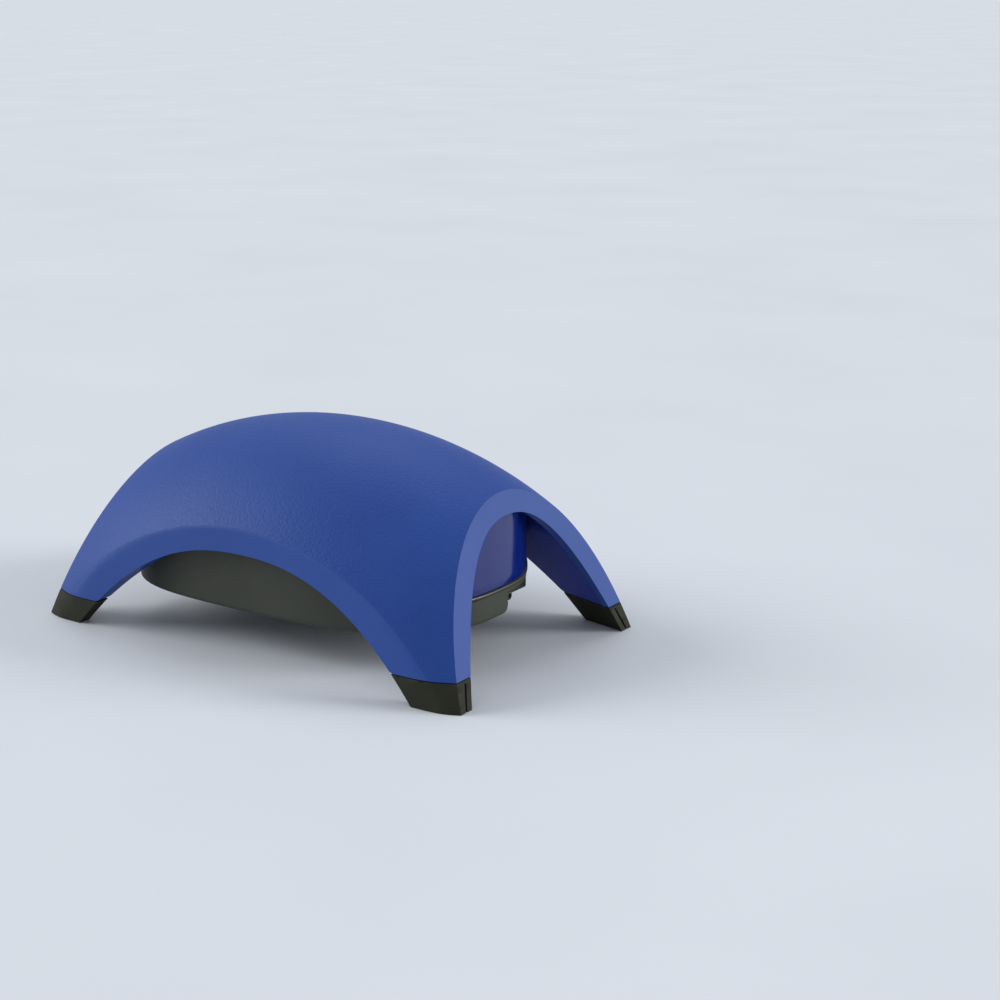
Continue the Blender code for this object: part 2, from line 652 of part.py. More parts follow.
def tube_solid(name, radius, material=None):
    """A round bar along the tube's route."""
    points = tube_route()
    curve = bpy.data.curves.new(name, "CURVE")
    curve.dimensions = "3D"
    curve.bevel_depth = radius * MM
    curve.bevel_resolution = 3
    curve.use_fill_caps = material is None
    spline = curve.splines.new("POLY")
    spline.points.add(len(points) - 1)
    for point, at in zip(spline.points, points):
        point.co = (*(Vector(at) * MM), 1.0)
    guide = bpy.data.objects.new(f"{name}_route", curve)
    parts.objects.link(guide)
    mesh = evaluated_mesh(guide)
    bpy.data.objects.remove(guide, do_unlink=True)
    bm = bmesh.new()
    bm.from_mesh(mesh)
    bmesh.ops.remove_doubles(bm, verts=bm.verts, dist=1e-6)
    return add_object(name, mesh_from(name, bm), material)


def make_air_tube():
    tube = tube_solid("air_tube", TUBE_OUTER, "clear_silicone")
    wall = tube.modifiers.new("wall", "SOLIDIFY")
    wall.thickness = TUBE_WALL * MM
    wall.offset = -1.0


def make_gland():
    y, z = GLAND
    wall_out, wall_in = DRUM_HALF[0] + GAP, DRUM_HALF[0] - DRUM_WALL - 2 * GAP
    profile = [
        (GLAND_BORE, -wall_in + 2.0),
        (GLAND_RIM, -wall_in + 2.0),
        (GLAND_RIM, -wall_in),
        (GLAND_NECK, -wall_in),
        (GLAND_NECK, -wall_out),
        (GLAND_RIM, -wall_out),
        (GLAND_RIM - 0.8, -wall_out - 2.2),
        (GLAND_BORE, -wall_out - 2.2),
    ]
    turned("cord_gland", profile, (0, y, z), "X", "soft_rubber", loop=True)


def make_filter():
    x, y = FILTER_AT
    radius = FILTER_RADIUS - GAP
    felt_low = PAN_BOTTOM + COVER_HEIGHT + GAP
    rod("filter_felt", radius, (x, y, felt_low), FELT_HEIGHT - GAP, material="felt", sides=32)
    cover = rod("filter_cover", radius, (x, y, PAN_BOTTOM), COVER_HEIGHT, material="dark_plastic", sides=40)
    pitch = 2.8
    for i in range(-2, 3):
        half = math.sqrt((radius - 1.8) ** 2 - (i * pitch) ** 2)
        low, high = (x - half, y + i * pitch - 0.7, 0), (x + half, y + i * pitch + 0.7, REACH)
        boolean(cover, box(f"cover_slot_{i + 3}", low, high))


# ---------- motor ----------

def make_frame():
    low_z, top = FRAME_Z
    low, high = (FRAME_X[0], -FRAME_HALF_Y, low_z), (FRAME_X[1], FRAME_HALF_Y, top)
    frame = box("motor_frame", low, high, "white_plastic")
    for side, name in ((1, "back"), (-1, "front")):
        ys = sorted(side * y for y in EAR_Y)
        ear = box(f"ear_{name}", (EAR_X[0], ys[0], low_z + 1), (EAR_X[1], ys[1], EAR_TOP))
        boolean(frame, ear, "UNION")
    boolean(frame, rod("bush_holes", BUSH_RADIUS + GAP, (PIVOT_X, -REACH / 2, ARM_Z), REACH, "Y"))
    slot_low = (tube_route()[1][0] - 1.0, NIPPLE_Y - TUBE_OUTER - GAP, 0)
    boolean(frame, box("tube_slot", slot_low, (REACH, EAR_Y[0] - GAP, ARM_Z - 10)))
    boolean(frame, tube_solid("tube_room", TUBE_OUTER + GAP))
    for place, x in (("left", MOUNT_X[0]), ("right", MOUNT_X[1])):
        for side, y in (("front", -MOUNT_Y), ("back", MOUNT_Y)):
            boolean(frame, rod(f"mount_hole_{side}_{place}", MOUNT_NECK + GAP, (x, y, 0), REACH, sides=16))


def make_mounts():
    floor = PAN_BOTTOM + PAN_FLOOR + GAP
    low_z, top = FRAME_Z
    profile = [
        (0.0, top + GAP + 1.4),
        (MOUNT_RIM - 0.5, top + GAP + 1.4),
        (MOUNT_RIM, top + GAP),
        (MOUNT_NECK, top + GAP),
        (MOUNT_NECK, low_z - GAP),
        (MOUNT_FOOT, low_z - GAP),
        (MOUNT_FOOT, floor),
        (0.0, floor),
    ]
    for place, x in (("left", MOUNT_X[0]), ("right", MOUNT_X[1])):
        for side, y in (("front", -MOUNT_Y), ("back", MOUNT_Y)):
            turned(f"isolation_mount_{side}_{place}", profile, (x, y, 0), material="soft_rubber", steps=16)


def core_half():
    return OUTER_LEG + WINDOW + MIDDLE_LEG / 2


def make_core():
    back, face = CORE_X
    mouth = back + YOKE
    half, inner, middle = core_half(), core_half() - OUTER_LEG, MIDDLE_LEG / 2
    points = [
        (back, -half),
        (face, -half),
        (face, -inner),
        (mouth, -inner),
        (mouth, -middle),
        (face, -middle),
        (face, middle),
        (mouth, middle),
        (mouth, inner),
        (face, inner),
        (face, half),
        (back, half),
    ]
    points = [(x, ARM_Z + z) for x, z in points]
    outline_solid("e_core", points, -CORE_DEPTH / 2, CORE_DEPTH / 2, "Y", "laminations")


def centred_block(name, xs, half_y, half_z, material=None):
    return box(name, (xs[0], -half_y, ARM_Z - half_z), (xs[1], half_y, ARM_Z + half_z), material)


def make_coil():
    ends = (CORE_X[0] + YOKE + 2 * GAP, CORE_X[1] - 2.0)
    spool = (ends[0] + COIL_FLANGE, ends[1] - COIL_FLANGE)
    hole_y, hole_z = CORE_DEPTH / 2 + GAP, MIDDLE_LEG / 2 + GAP
    room_z = MIDDLE_LEG / 2 + WINDOW - GAP
    room_y = hole_y + room_z - hole_z
    through = (-REACH, REACH)
    bobbin = centred_block("coil_bobbin", ends, room_y, room_z, "white_plastic")
    groove = centred_block("winding_groove", spool, REACH, REACH)
    boolean(groove, centred_block("bobbin_tube", through, hole_y + COIL_TUBE, hole_z + COIL_TUBE))
    boolean(bobbin, groove)
    hole = centred_block("core_hole", through, hole_y, hole_z)
    boolean(bobbin, hole)
    wound = (spool[0] + GAP, spool[1] - GAP)
    winding = centred_block("coil_winding", wound, room_y - 0.7, room_z - 0.7, "copper")
    bevel(winding, 1.6, 3)
    tube_room = COIL_TUBE + GAP
    boolean(winding, centred_block("winding_hole", through, hole_y + tube_room, hole_z + tube_room))


def make_strap():
    """The steel band over the core's yoke, with two feet on the frame."""
    inner_y, outer_y = CORE_DEPTH / 2 + GAP, CORE_DEPTH / 2 + GAP + STRAP_THICK
    inner_top = ARM_Z + core_half() + GAP
    outer_top, floor = inner_top + STRAP_THICK, FRAME_Z[1] + GAP
    foot = outer_y + 6.0
    right = [(inner_y, inner_top), (inner_y, floor), (foot, floor), (foot, floor + STRAP_THICK)]
    right += [(outer_y, floor + STRAP_THICK), (outer_y, outer_top)]
    left = [(-y, z) for y, z in reversed(right)]
    start = CORE_X[0] + 1.0
    outline_solid("core_strap", right + left, start, start + STRAP_WIDTH, "X", "steel")


def make_arm():
    tip = CORE_X[1] + AIR_GAP + MAGNET[0] + GAP
    half = ARM_THICK / 2
    arm = centred_block("arm_lever", (tip, PIVOT_X), ARM_WIDTH / 2, half, "steel")
    plate = (tip, tip + ARM_THICK)
    boolean(arm, centred_block("magnet_plate", plate, MAGNET[1] / 2, MAGNET[2] / 2 + 1), "UNION")
    eye_half = EAR_Y[0] - 2 * GAP - 1.2
    boolean(arm, rod("pivot_eye", EYE_RADIUS, (PIVOT_X, -eye_half, ARM_Z), 2 * eye_half, "Y"), "UNION")
    boolean(arm, rod("eye_hole", PIN_RADIUS + GAP, (PIVOT_X, -REACH, ARM_Z), 2 * REACH, "Y", sides=16))
    boolean(arm, rod("bolt_hole", SHANK + GAP, (HEAD_X, 0, 0), REACH, sides=16))
    hang_on_pivot(arm)
    magnet = (tip - GAP - MAGNET[0], tip - GAP)
    hang_on_pivot(centred_block("arm_magnet", magnet, MAGNET[1] / 2, MAGNET[2] / 2, "ferrite"))


def hang_on_pivot(obj):
    """Parents a piece of the swinging arm to the empty on the arm's pivot axis."""
    pivot = bpy.data.objects.get("arm_pivot")
    if pivot is None:
        pivot = bpy.data.objects.new("arm_pivot", None)
        parts.objects.link(pivot)
        pivot.matrix_world = Matrix.Translation(Vector((PIVOT_X, 0, ARM_Z)) * MM)
    obj.parent = pivot
    obj.matrix_parent_inverse = pivot.matrix_world.inverted()


def origin_to(obj, at):
    """Moves an object's origin to a joint's axis and leaves its shape where it is."""
    shift = Vector(at) * MM
    obj.data.transform(Matrix.Translation(-shift))
    obj.matrix_world = Matrix.Translation(shift)


def make_pivot():
    length = 2 * EAR_Y[1]
    rod("pivot_pin", PIN_RADIUS, (PIVOT_X, -length / 2, ARM_Z), length, "Y", "steel", sides=16)
    rim = BUSH_RADIUS + 1.0
    inner, outer = EAR_Y[0] - GAP, EAR_Y[1]
    hole = PIN_RADIUS + GAP
    for side, name in ((1, "back"), (-1, "front")):
        profile = [
            (hole, side * outer),
            (BUSH_RADIUS, side * outer),
            (BUSH_RADIUS, side * inner),
            (rim, side * inner),
            (rim, side * (inner - 1.0)),
            (hole, side * (inner - 1.0)),
        ]
        if side < 0:
            profile.reverse()
        turned(f"pivot_bush_{name}", profile, (PIVOT_X, 0, ARM_Z), "Y", "soft_rubber", 20, loop=True)


# ---------- pump head ----------

def head_block(name, zs, half=HEAD_HALF, material=None):
    return box(name, (HEAD_X - half, -half, zs[0]), (HEAD_X + half, half, zs[1]), material)


def make_pump_head():
    wall = 2.4
    inner = HEAD_HALF - wall
    head_block("valve_cover", COVER_Z, material="white_plastic")
    gasket = head_block("valve_gasket", GASKET_Z, material="soft_rubber")
    block = head_block("valve_block", BLOCK_Z, material="white_plastic")
    for name, xs in (("inlet", (-inner, -0.8)), ("outlet", (0.8, inner))):
        low, high = (HEAD_X + xs[0], -inner, 0), (HEAD_X + xs[1], inner, PLENUM_TOP)
        plenum = box(f"{name}_plenum", low, high)
        boolean(gasket, plenum)
        boolean(block, plenum)
    boolean(block, rod("chamber", CHAMBER_RADIUS, (HEAD_X, 0, CHAMBER_FLOOR), REACH, sides=36))
    for name, x in (("inlet", HEAD_X - PORT_OFFSET), ("outlet", HEAD_X + PORT_OFFSET)):
        boolean(block, rod(f"{name}_port", PORT_RADIUS, (x, 0, PLENUM_TOP - 1), 6, sides=16))
    nipple = (HEAD_X + HEAD_HALF - wall / 2, NIPPLE_Y, NIPPLE_Z)
    boolean(block, rod("nipple", NIPPLE_RADIUS, nipple, 7.5, "X"), "UNION")
    boolean(block, rod("nipple_bore", NIPPLE_BORE, (HEAD_X + 5, NIPPLE_Y, NIPPLE_Z), 40, "X", sides=12))
    boolean(block, rod("intake_bore", PORT_RADIUS * 0.9, (HEAD_X - 40, 0, NIPPLE_Z), 35, "X", sides=12))
    make_flap("inlet_flap", HEAD_X - PORT_OFFSET, CHAMBER_FLOOR + GAP, 1)
    make_flap("outlet_flap", HEAD_X + PORT_OFFSET, PLENUM_TOP - GAP, -1)


def make_flap(name, x, seat, up):
    """A rubber flap over a port, with its origin on the edge it bends at, nearest the middle."""
    length, width, thick = FLAP
    zs = sorted((seat, seat + up * thick))
    hinge = x + up * length / 2
    flap = box(name, (x - length / 2, -width / 2, zs[0]), (x + length / 2, width / 2, zs[1]), "soft_rubber")
    origin_to(flap, (hinge, 0, seat))


def make_diaphragm():
    low = BLOCK_Z[1] + GAP
    flange = low + DIAPHRAGM_FLANGE
    profile = [
        (0.0, BOSS_TOP),
        (BOSS_RADIUS, BOSS_TOP),
        (BOSS_RADIUS, flange),
        (7.0, flange + 0.9),
        (9.0, flange),
        (DIAPHRAGM_RADIUS, flange),
        (DIAPHRAGM_RADIUS, low),
        (9.0, low),
        (7.0, low + 0.9),
        (BOSS_RADIUS, low),
        (0.0, low),
    ]
    turned("diaphragm", profile, (HEAD_X, 0, 0), material="soft_rubber", steps=32)
    ring_low = flange + GAP
    ring = [
        (9.6, ring_low + RING_HEIGHT),
        (DIAPHRAGM_RADIUS, ring_low + RING_HEIGHT),
        (DIAPHRAGM_RADIUS, ring_low),
        (9.6, ring_low),
    ]
    turned("clamp_ring", ring, (HEAD_X, 0, 0), material="white_plastic", steps=32, loop=True)
    hub_low, hub_high = BOSS_TOP + GAP, ARM_Z - ARM_THICK / 2 - GAP
    hub = [(SHANK + GAP, hub_high), (BOSS_RADIUS - 0.5, hub_high)]
    hub += [(BOSS_RADIUS - 0.5, hub_low), (SHANK + GAP, hub_low)]
    plate = turned("diaphragm_plate", hub, (HEAD_X, 0, 0), material="steel", loop=True)
    seat = ARM_Z + ARM_THICK / 2 + GAP
    bolt = [
        (0.0, seat + HEAD_HEIGHT),
        (0.7 * HEAD, seat + HEAD_HEIGHT),
        (HEAD, seat + 0.4 * HEAD_HEIGHT),
        (HEAD, seat),
        (SHANK, seat),
        (SHANK, hub_low + 0.2),
        (0.0, hub_low + 0.2),
    ]
    hang_on_pivot(plate)
    hang_on_pivot(turned("diaphragm_bolt", bolt, (HEAD_X, 0, 0), material="steel", steps=16))


def main():
    global parts, cutters
    clear_scene()
    parts = new_collection("aquarium_air_pump")
    cutters = new_collection("cutters", hidden=True)
    make_materials()
    end_arch = arch("end_arch", END_ARCH, "X")
    side_arch = arch("side_arch", SIDE_ARCH, "Y")
    make_dome(end_arch, side_arch)
    make_feet(end_arch, side_arch)
    make_drum()
    make_seal()
    make_pan()
    make_screws()
    make_outlet()
    make_air_tube()
    make_gland()
    make_filter()
    make_frame()
    make_mounts()
    make_core()
    make_coil()
    make_strap()
    make_arm()
    make_pivot()
    make_pump_head()
    make_diaphragm()


main()
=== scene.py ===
"""The aquarium air pump's looks: fine moulded shells, rubber feet and procedural materials
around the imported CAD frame. Lengths are in millimetres and become metres in the meshes. The
shapes' sizes are the CAD model's."""

import json
import math

import bmesh
import bpy
from mathutils import Matrix, Vector


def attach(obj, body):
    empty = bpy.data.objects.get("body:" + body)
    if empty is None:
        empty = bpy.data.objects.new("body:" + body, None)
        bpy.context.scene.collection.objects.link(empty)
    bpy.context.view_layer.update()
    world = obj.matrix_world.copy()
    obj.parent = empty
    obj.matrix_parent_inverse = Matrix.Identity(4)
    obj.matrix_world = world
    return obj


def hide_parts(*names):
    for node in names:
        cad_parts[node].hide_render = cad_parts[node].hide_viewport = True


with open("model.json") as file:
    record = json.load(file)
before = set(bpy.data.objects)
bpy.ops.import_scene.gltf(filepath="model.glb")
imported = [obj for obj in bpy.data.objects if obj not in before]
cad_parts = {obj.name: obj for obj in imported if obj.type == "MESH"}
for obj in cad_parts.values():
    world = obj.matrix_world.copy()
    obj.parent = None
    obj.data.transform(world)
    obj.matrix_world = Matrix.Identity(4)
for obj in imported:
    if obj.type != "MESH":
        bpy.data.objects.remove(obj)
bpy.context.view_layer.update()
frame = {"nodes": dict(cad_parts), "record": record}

MM = 0.001
BODY = "pump_body"

# The camera: its direction, distance, tilt and lens
CAMERA_AZIMUTH, CAMERA_ELEVATION, CAMERA_ROLL = 37.57, 15.29, -0.674
CAMERA_DISTANCE, CAMERA_TARGET = 712.5, (0.0, 0.0, 39.4)
CAMERA_LENS, CAMERA_SENSOR = 72.46, 36.0
CAMERA_SHIFT = (0.165, 0.0134)

# Domed cover
DOME_RADII, DOME_TOP, DOME_WALL = (141.0, 81.5, 123.2), 74.0, 3.0
DOME_CENTRE = DOME_TOP - DOME_RADII[2]
END_REACH, END_LEAN = 90.0, 0.352
SIDE_REACH, SIDE_LEAN, SIDE_PLATE = 56.65, 0.097, 5.2
END_FLANGE, END_TAPER = 2.0, 0.042
END_ARCH, SIDE_ARCH = (47.4, 50.4, 2.29), (72.8, 37.0, 2.315)
FOOT_HEIGHT, GAP = 9.0, 0.3
SLOT_WIDTH, SLOT_DEPTH, SLOT_BESIDE = 1.0, 1.5, 3.1  # in a foot's end, beside the arch
LEG_TURN, LEG_LEAN, LEG_THICKER, LEG_TOP = 0.295, 0.66, 0.6, 41.3

# Drum, seam and pan
DRUM_HALF, DRUM_SQUARENESS, DRUM_WALL = (69.5, 46.0), (3.8, 2.7), 2.5
PAN_BOTTOM, PAN_FLOOR = 13.9, 2.4
SEAM_END, SEAM_RISE, SEAM_REACH, SEAM_POWER = 23.8, 15.2, 66.5, 3.0
SEAL_HEIGHT, SEAL_PROUD = 1.0, 0.4
PAN_EDGE = 1.8
OUTLET = (6.9, 19.7)
NOTCH_X, NOTCH_Y, NOTCH_TOP, NOTCH_ROUND, UNDER_POCKET = 62.5, 5.3, 21.8, 4.0, 3.2
KEEL_X, KEEL_Y, KEEL_TOP, KEEL_WALL = 50.5, 11.4, 16.3, 1.2
FILTER_AT, FILTER_RADIUS, FILTER_DEPTH, INTAKE_RADIUS = (-12.0, -32.8), 9.8, 4.6, 2.0
PAN_SCREW_AT, HEAD, HEAD_HEIGHT = (45.0, 31.0), 2.9, 1.8
GLAND, GLAND_NECK = (-7.0, 19.8), 2.6
BARB_NECK, BARB_RIDGE, BARB_BORE, BARB_TIP = 1.6, 1.95, 1.0, 69.0
BARB_FLANGE, BARB_TAIL, TAIL_RADIUS = 1.2, 54.0, 2.2


# ---------- procedural materials ----------

class Paint:
    """A node material with a Principled shader and short calls for the nodes that feed it."""

    def __init__(self, name, roughness, metallic=0.0, **settings):
        self.material = bpy.data.materials.new(name)
        self.material.use_nodes = True
        self.tree = self.material.node_tree
        self.shader = self.tree.nodes["Principled BSDF"]
        self.shader.inputs["Roughness"].default_value = roughness
        self.shader.inputs["Metallic"].default_value = metallic
        for key, value in settings.items():
            self.shader.inputs[key.replace("_", " ")].default_value = value
        self.place = self.node("ShaderNodeTexCoord").outputs["Object"]
        self.height = None

    def node(self, kind, **values):
        made = self.tree.nodes.new(kind)
        for key, value in values.items():
            setattr(made, key, value)
        return made

    def link(self, source, target):
        self.tree.links.new(source, target)

    def stretched(self, scale):
        mapping = self.node("ShaderNodeMapping")
        mapping.inputs["Scale"].default_value = scale
        self.link(self.place, mapping.inputs["Vector"])
        return mapping.outputs["Vector"]

    def noise(self, scale, detail=2.0, rough=0.5, place=None):
        made = self.node("ShaderNodeTexNoise")
        made.inputs["Scale"].default_value = scale
        made.inputs["Detail"].default_value = detail
        made.inputs["Roughness"].default_value = rough
        self.link(place or self.place, made.inputs["Vector"])
        return made.outputs["Fac"]

    def cells(self, scale, feature="F1", place=None):
        made = self.node("ShaderNodeTexVoronoi", feature=feature)
        made.inputs["Scale"].default_value = scale
        self.link(place or self.place, made.inputs["Vector"])
        return made.outputs["Distance"]

    def ramp(self, factor, stops):
        made = self.node("ShaderNodeValToRGB")
        elements = made.color_ramp.elements
        while len(elements) < len(stops):
            elements.new(0.5)
        for element, (at, colour) in zip(elements, stops):
            element.position = at
            element.color = (*colour, 1.0) if len(colour) == 3 else (colour[0],) * 3 + (1.0,)
        self.link(factor, made.inputs["Fac"])
        return made.outputs["Color"]

    def colour(self, factor, stops):
        self.link(self.ramp(factor, stops), self.shader.inputs["Base Color"])

    def roughness(self, factor, low, high):
        made = self.node("ShaderNodeMapRange")
        made.inputs["To Min"].default_value = low
        made.inputs["To Max"].default_value = high
        self.link(factor, made.inputs["Value"])
        self.link(made.outputs["Result"], self.shader.inputs["Roughness"])

    def bump(self, factor, strength, depth):
        """Adds one layer of relief, its depth in millimetres, over the layers before it."""
        made = self.node("ShaderNodeBump")
        made.inputs["Strength"].default_value = strength
        made.inputs["Distance"].default_value = depth * MM
        self.link(factor, made.inputs["Height"])
        if self.height:
            self.link(self.height, made.inputs["Normal"])
        self.height = made.outputs["Normal"]
        self.link(self.height, self.shader.inputs["Normal"])


def grained_plastic(name, dark, light, roughness, grain, shine=0.3):
    """Moulded plastic with a fine pebble grain and faint flow marks."""
    paint = Paint(name, roughness, Specular_IOR_Level=shine)
    paint.colour(paint.noise(28.0, 3.0), [(0.3, dark), (0.7, light)])
    paint.roughness(paint.noise(900.0, 2.0), roughness - 0.06, roughness + 0.08)
    paint.bump(paint.noise(60.0, 2.0), 0.15, 0.12)
    paint.bump(paint.noise(950.0, 1.5, 0.6), grain, 0.16)
    paint.bump(paint.cells(1300.0), grain * 0.5, 0.08)
    return paint.material


def smooth_plastic(name, dark, light, roughness, coat=0.3, shine=0.5):
    """Polished moulding: a trace of orange peel, hairline scuffs and uneven gloss."""
    paint = Paint(name, roughness, Coat_Weight=coat, Coat_Roughness=0.08, Specular_IOR_Level=shine)
    paint.colour(paint.noise(24.0, 3.0), [(0.3, dark), (0.7, light)])
    paint.roughness(paint.noise(110.0, 4.0, 0.65), roughness - 0.04, roughness + 0.1)
    paint.bump(paint.noise(260.0, 2.0), 0.06, 0.05)
    paint.bump(paint.noise(500.0, 2.0, place=paint.stretched((0.06, 1.0, 1.0))), 0.04, 0.02)
    return paint.material


def rubber(name, dark, light, roughness=0.72):
    paint = Paint(name, roughness, Specular_IOR_Level=0.25)
    paint.colour(paint.noise(90.0, 4.0, 0.6), [(0.3, dark), (0.75, light)])
    paint.roughness(paint.noise(420.0, 3.0), roughness - 0.1, roughness + 0.1)
    paint.bump(paint.noise(1400.0, 2.0), 0.25, 0.05)
    paint.bump(paint.noise(120.0, 3.0), 0.15, 0.15)
    return paint.material


def metal(name, dark, light, roughness, grain=(1.0, 0.05, 1.0)):
    paint = Paint(name, roughness, 1.0)
    brushed = paint.noise(900.0, 3.0, place=paint.stretched(grain))
    paint.colour(paint.noise(80.0, 3.0), [(0.3, dark), (0.7, light)])
    paint.roughness(brushed, roughness - 0.08, roughness + 0.12)
    paint.bump(brushed, 0.12, 0.03)
    return paint.material


def laminated_iron():
    """Stacked sheet iron: the sheets' edges show as fine lines across the pump."""
    paint = Paint("laminated_iron", 0.45, 1.0)
    waves = paint.node("ShaderNodeTexWave", bands_direction="Y")
    waves.inputs["Scale"].default_value = 320.0
    waves.inputs["Distortion"].default_value = 0.4
    paint.link(paint.place, waves.inputs["Vector"])
    paint.colour(waves.outputs["Fac"], [(0.2, (0.06, 0.06, 0.065)), (0.6, (0.24, 0.24, 0.25))])
    paint.bump(waves.outputs["Fac"], 0.4, 0.08)
    return paint.material


def wound_copper():
    """Enamelled wire laid side by side round the bobbin."""
    paint = Paint("wound_copper", 0.28, 0.9, Coat_Weight=0.5, Coat_Roughness=0.15)
    waves = paint.node("ShaderNodeTexWave", bands_direction="X")
    waves.inputs["Scale"].default_value = 480.0
    waves.inputs["Distortion"].default_value = 0.3
    paint.link(paint.place, waves.inputs["Vector"])
    paint.colour(waves.outputs["Fac"], [(0.1, (0.22, 0.07, 0.025)), (0.7, (0.62, 0.25, 0.1))])
    paint.bump(waves.outputs["Fac"], 0.7, 0.15)
    return paint.material


def felt():
    paint = Paint("filter_felt", 0.95, Specular_IOR_Level=0.2, Sheen_Weight=0.4)
    fibres = paint.noise(1300.0, 5.0, 0.75, paint.stretched((1.0, 0.35, 1.0)))
    paint.colour(fibres, [(0.3, (0.36, 0.36, 0.33)), (0.7, (0.62, 0.62, 0.58))])
    paint.bump(fibres, 0.7, 0.25)
    return paint.material


def silicone():
    paint = Paint("milky_silicone", 0.3, Transmission_Weight=0.35, IOR=1.41, Subsurface_Weight=0.2)
    paint.colour(paint.noise(70.0, 3.0), [(0.3, (0.5, 0.53, 0.5)), (0.7, (0.66, 0.68, 0.64))])
    paint.bump(paint.noise(300.0, 2.0), 0.08, 0.05)
    return paint.material


def make_materials():
    """Every finish by name; plastics and rubbers are given a darker and a lighter tone."""
    return {
        "dome_grain": grained_plastic(
            "dome_grain", (0.012, 0.050, 0.245), (0.015, 0.058, 0.270), 0.5, 1.0, 0.22
        ),
        "dome_smooth": smooth_plastic(
            "dome_smooth", (0.013, 0.053, 0.255), (0.017, 0.061, 0.280), 0.45, 0.0, 0.32
        ),
        "dome_inside": grained_plastic(
            "dome_inside", (0.022, 0.038, 0.270), (0.028, 0.046, 0.310), 0.6, 1.0, 0.25
        ),
        "drum_gloss": smooth_plastic(
            "drum_gloss", (0.002, 0.011, 0.125), (0.003, 0.014, 0.145), 0.12, 0.25, 0.4
        ),
        "pan_matte": grained_plastic(
            "pan_matte", (0.034, 0.038, 0.027), (0.042, 0.046, 0.033), 0.5, 0.4, 0.3
        ),
        "seal_lip": smooth_plastic("seal_lip", (0.040, 0.043, 0.034), (0.052, 0.055, 0.043), 0.35, 0.1),
        "foot_rubber": rubber("foot_rubber", (0.013, 0.014, 0.007), (0.021, 0.022, 0.011)),
        "soft_rubber": rubber("soft_rubber", (0.012, 0.012, 0.012), (0.022, 0.022, 0.021), 0.62),
        "white_moulding": smooth_plastic("white_moulding", (0.52, 0.52, 0.49), (0.6, 0.6, 0.57), 0.4, 0.1),
        "plated_steel": metal("plated_steel", (0.42, 0.42, 0.42), (0.58, 0.58, 0.57), 0.32),
        "ferrite": grained_plastic("ferrite_grain", (0.035, 0.035, 0.04), (0.06, 0.06, 0.065), 0.6, 0.6),
        "laminated_iron": laminated_iron(),
        "wound_copper": wound_copper(),
        "filter_felt": felt(),
        "milky_silicone": silicone(),
    }


# ---------- mesh helpers ----------

def new_piece(name, bm, paints, body=BODY):
    """Makes a mesh object from a bmesh, with its materials in order, and lets it ride on its body."""
    bmesh.ops.recalc_face_normals(bm, faces=bm.faces)
    mesh = bpy.data.meshes.new(name)
    bm.to_mesh(mesh)
    bm.free()
    for paint in paints:
        mesh.materials.append(paint)
    made = bpy.data.objects.new(name, mesh)
    bpy.context.scene.collection.objects.link(made)
    if body:
        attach(made, body)
    return made


def apply_modifiers(obj):
    bpy.context.view_layer.update()
    graph = bpy.context.evaluated_depsgraph_get()
    made = bpy.data.meshes.new_from_object(obj.evaluated_get(graph))
    obj.modifiers.clear()
    obj.data = made


def shade(obj, angle=30.0):
    obj.data.shade_smooth()
    obj.data.set_sharp_from_angle(angle=math.radians(angle))


def round_edges(obj, width, segments=3, angle=40.0):
    """Rounds the creases over an angle, then keeps the flat faces' normals flat."""
    step = obj.modifiers.new("edges", "BEVEL")
    step.width = width * MM
    step.segments = segments
    step.limit_method = "ANGLE"
    step.angle_limit = math.radians(angle)
    step.use_clamp_overlap = True
    step.harden_normals = False
    apply_modifiers(obj)
    obj.data.shade_smooth()
    weighted = obj.modifiers.new("normals", "WEIGHTED_NORMAL")
    weighted.keep_sharp = True
    weighted.weight = 60
    apply_modifiers(obj)


def cut(obj, tools, operation="DIFFERENCE"):
    """Cuts a piece with one-off tools and removes them."""
    for tool in tools:
        step = obj.modifiers.new("cut", "BOOLEAN")
        step.operation = operation
        step.object = tool
        step.solver = "EXACT"
    apply_modifiers(obj)
    for tool in tools:
        bpy.data.objects.remove(tool, do_unlink=True)


def slab(points, low, high, axis="Z"):
    """A one-off tool: an outline drawn across an axis, made solid from low to high along it."""
    bm = bmesh.new()
    place = {
        "X": lambda u, v, w: (w, u, v),
        "Y": lambda u, v, w: (u, w, v),
        "Z": lambda u, v, w: (u, v, w),
    }[axis]
    face = bm.faces.new([bm.verts.new(Vector(place(u, v, low)) * MM) for u, v in points])
    grown = bmesh.ops.extrude_face_region(bm, geom=[face])["geom"]
    moved = [item for item in grown if isinstance(item, bmesh.types.BMVert)]
    bmesh.ops.translate(bm, vec=Vector(place(0, 0, high - low)) * MM, verts=moved)
    return new_piece("tool", bm, [], body=None)


def along(axis):
    """The turn that takes +Z to the named axis."""
    turns = {"X": Matrix.Rotation(math.pi / 2, 4, "Y"), "Y": Matrix.Rotation(-math.pi / 2, 4, "X")}
    return turns.get(axis, Matrix.Identity(4))


def peg(radius, start, length, axis="Z", sides=48):
    """A one-off tool: a cylinder from a point along an axis."""
    bm = bmesh.new()
    bmesh.ops.create_cone(
        bm, cap_ends=True, segments=sides, radius1=radius * MM, radius2=radius * MM, depth=length * MM
    )
    bmesh.ops.translate(bm, vec=(0, 0, length / 2 * MM), verts=bm.verts)
    bmesh.ops.transform(bm, matrix=Matrix.Translation(Vector(start) * MM) @ along(axis), verts=bm.verts)
    return new_piece("tool", bm, [], body=None)


